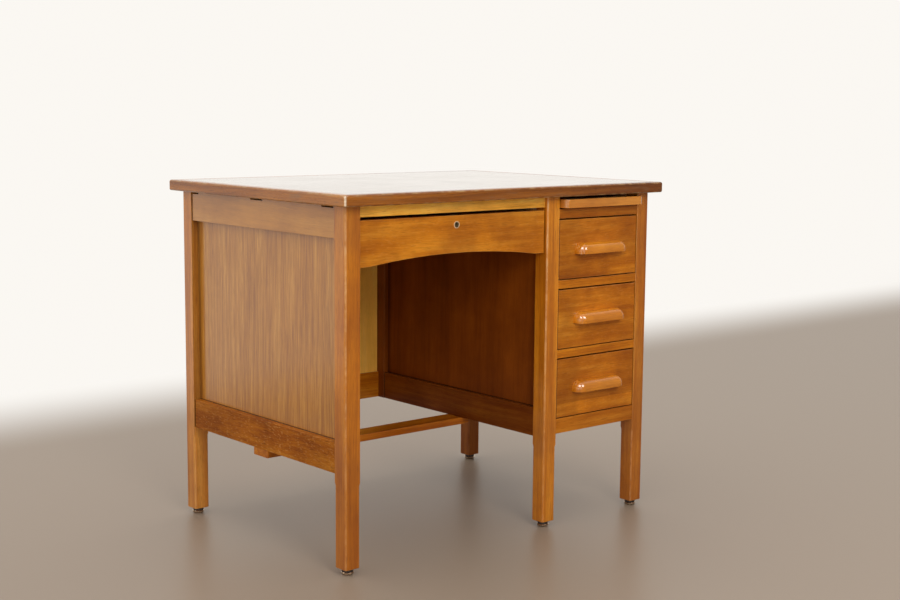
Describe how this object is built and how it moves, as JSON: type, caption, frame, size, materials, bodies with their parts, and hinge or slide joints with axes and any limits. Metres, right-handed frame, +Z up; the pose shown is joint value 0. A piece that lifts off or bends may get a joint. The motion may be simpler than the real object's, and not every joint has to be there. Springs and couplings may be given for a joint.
{
  "type": "teacher desk",
  "caption": "Single-pedestal wooden teacher's desk: framed and panelled ends, kneehole with arched centre drawer, writing slide and stacked drawers with bar pulls.",
  "frame": {"origin": "on the floor, under the middle of the desktop", "axes": "+X to the sitter's right along the desk's width, -Y towards the sitter (drawers open to -Y), +Z up"},
  "size_m": [0.92, 0.676, 0.775],
  "materials": {
    "frame_oak": "satin lacquered oak, honey brown",
    "desktop_oak": "glossy lacquered oak veneer, olive brown",
    "edging_oak": "glossy, stained dark reddish brown",
    "oak_plywood": "satin lacquered oak plywood",
    "pull_wood": "glossy lacquered oak",
    "drawer_wood": "clear sealed",
    "drawer_plywood": "clear sealed plywood",
    "runner_wood": "bare, waxed",
    "steel_fastener": "plain steel",
    "nickel": "worn nickel plate",
    "rubber": "dark brown rubber",
    "brass": "aged brass"
  },
  "bodies": {
    "desk_frame": {"back_left_leg": "frame_oak", "back_lower_rails": "frame_oak", "back_middle_post": "frame_oak", "back_right_leg": "frame_oak", "back_top_rails": "frame_oak", "centre_drawer_runners": "runner_wood", "drawer_dividers": "frame_oak", "drawer_runners": "runner_wood", "foot_rail": "frame_oak", "foot_rail_screws": "steel_fastener", "front_left_leg": "frame_oak", "front_middle_leg": "frame_oak", "front_right_leg": "frame_oak", "glide_caps": "nickel", "glide_cushions": "rubber", "inner_lower_rail": "frame_oak", "inner_panel": "oak_plywood", "inner_top_rail": "frame_oak", "kneehole_front_rail": "frame_oak", "left_lower_rail": "frame_oak", "left_panel": "oak_plywood", "left_top_rail": "frame_oak", "modesty_panel": "oak_plywood", "pedestal_back_panel": "oak_plywood", "pedestal_bottom_rail": "frame_oak", "right_lower_rail": "frame_oak", "right_panel": "oak_plywood", "right_top_rail": "frame_oak", "slide_rail": "frame_oak", "slide_runners": "runner_wood", "slide_stop_batten": "runner_wood", "strike_plate": "brass", "top_edging": "edging_oak", "top_fasteners": "steel_fastener", "top_panel": "desktop_oak"},
    "upper_drawer": {"upper_drawer_bottom": "drawer_plywood", "upper_drawer_box": "drawer_wood", "upper_drawer_front": "frame_oak", "upper_drawer_pull": "pull_wood", "upper_drawer_pull_screws": "steel_fastener"},
    "middle_drawer": {"middle_drawer_bottom": "drawer_plywood", "middle_drawer_box": "drawer_wood", "middle_drawer_front": "frame_oak", "middle_drawer_pull": "pull_wood", "middle_drawer_pull_screws": "steel_fastener"},
    "lower_drawer": {"lower_drawer_bottom": "drawer_plywood", "lower_drawer_box": "drawer_wood", "lower_drawer_front": "frame_oak", "lower_drawer_pull": "pull_wood", "lower_drawer_pull_screws": "steel_fastener"},
    "centre_drawer": {"centre_drawer_back": "drawer_wood", "centre_drawer_bottom": "drawer_plywood", "centre_drawer_front": "frame_oak", "centre_drawer_sides": "drawer_wood", "escutcheon": "brass", "lock_case": "brass"},
    "lock_plug": {"lock_plug": "brass"},
    "lock_bolt": {"lock_bolt": "brass"},
    "writing_slide": {"slide_board": "frame_oak", "slide_lip": "frame_oak"}
  },
  "joints": [
    {"name": "upper_drawer_slide", "type": "slide", "parent": "desk_frame", "child": "upper_drawer", "axis": [0, -1, 0], "range_m": [0, 0.42]},
    {"name": "middle_drawer_slide", "type": "slide", "parent": "desk_frame", "child": "middle_drawer", "axis": [0, -1, 0], "range_m": [0, 0.42]},
    {"name": "lower_drawer_slide", "type": "slide", "parent": "desk_frame", "child": "lower_drawer", "axis": [0, -1, 0], "range_m": [0, 0.42]},
    {"name": "centre_drawer_slide", "type": "slide", "parent": "desk_frame", "child": "centre_drawer", "axis": [0, -1, 0], "range_m": [0, 0.36]},
    {"name": "writing_slide_pull", "type": "slide", "parent": "desk_frame", "child": "writing_slide", "axis": [0, -1, 0], "range_m": [0, 0.33]},
    {"name": "lock_plug_turn", "type": "hinge", "parent": "centre_drawer", "child": "lock_plug", "pos_m": [-0.1451, -0.3, 0.701], "axis": [0, -1, 0], "range_deg": [0, 90]},
    {"name": "lock_bolt_rise", "type": "slide", "parent": "centre_drawer", "child": "lock_bolt", "axis": [0, 0, 1], "range_m": [0, 0.011]}
  ],
  "couplings": [
    {"joint": "lock_bolt_rise", "follows": "lock_plug_turn", "m_per_rad": 0.0070021}
  ]
}
